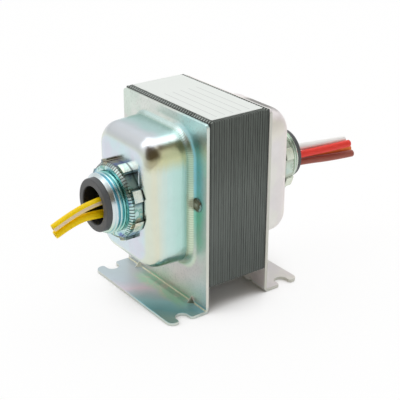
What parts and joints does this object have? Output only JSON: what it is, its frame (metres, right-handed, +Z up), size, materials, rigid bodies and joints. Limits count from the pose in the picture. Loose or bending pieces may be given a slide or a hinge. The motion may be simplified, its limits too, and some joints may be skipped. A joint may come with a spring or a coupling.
{
  "type": "foot-mounted control transformer",
  "caption": "Low-voltage control transformer with a laminated core between drawn end bells, slotted feet, a conduit hub at each end and lead wires.",
  "frame": {"origin": "on the mounting surface, under the middle of the core", "axes": "+Z up; Y along the hubs, with the two yellow leads at -Y; X along the feet, with the I side of the core at +X"},
  "size_m": [0.0504, 0.1372, 0.0702],
  "materials": {
    "core_steel": "varnished edges of stacked sheets",
    "zinc_plated_bell": "bright zinc plating with a faint iridescent passivation",
    "zinc_hub": "bright zinc plating",
    "weld_metal": "burnt weld metal",
    "bushing_plastic": "moulded dark grey plastic",
    "bobbin_nylon": "moulded natural nylon",
    "copper_winding": "enamelled copper wire",
    "insulating_tape": "insulating tape",
    "label_white": "bare printed-paper white",
    "lead_yellow": "insulation",
    "lead_yellow_striped": "insulation with a pale stripe",
    "lead_white": "insulation",
    "lead_red": "insulation",
    "lead_orange": "insulation",
    "lead_brown": "insulation"
  },
  "bodies": {
    "root": {"core_e_laminations": "core_steel", "core_i_laminations": "core_steel", "bobbin": "bobbin_nylon", "primary_winding": "copper_winding", "secondary_winding": "copper_winding", "primary_tape": "insulating_tape", "secondary_tape": "insulating_tape", "front_end_bell": "zinc_plated_bell", "rear_end_bell": "zinc_plated_bell", "front_hub_nipple": "zinc_hub", "rear_hub_nipple": "zinc_hub", "front_locknut": "zinc_hub", "rear_locknut": "zinc_hub", "front_bushing": "bushing_plastic", "rear_bushing": "bushing_plastic", "front_weld_nuggets": "weld_metal", "rear_weld_nuggets": "weld_metal", "rating_label": "label_white", "lead_yellow": "lead_yellow", "lead_yellow_striped": "lead_yellow_striped", "lead_white": "lead_white", "lead_red": "lead_red", "lead_orange": "lead_orange", "lead_brown": "lead_brown"}
  },
  "joints": []
}
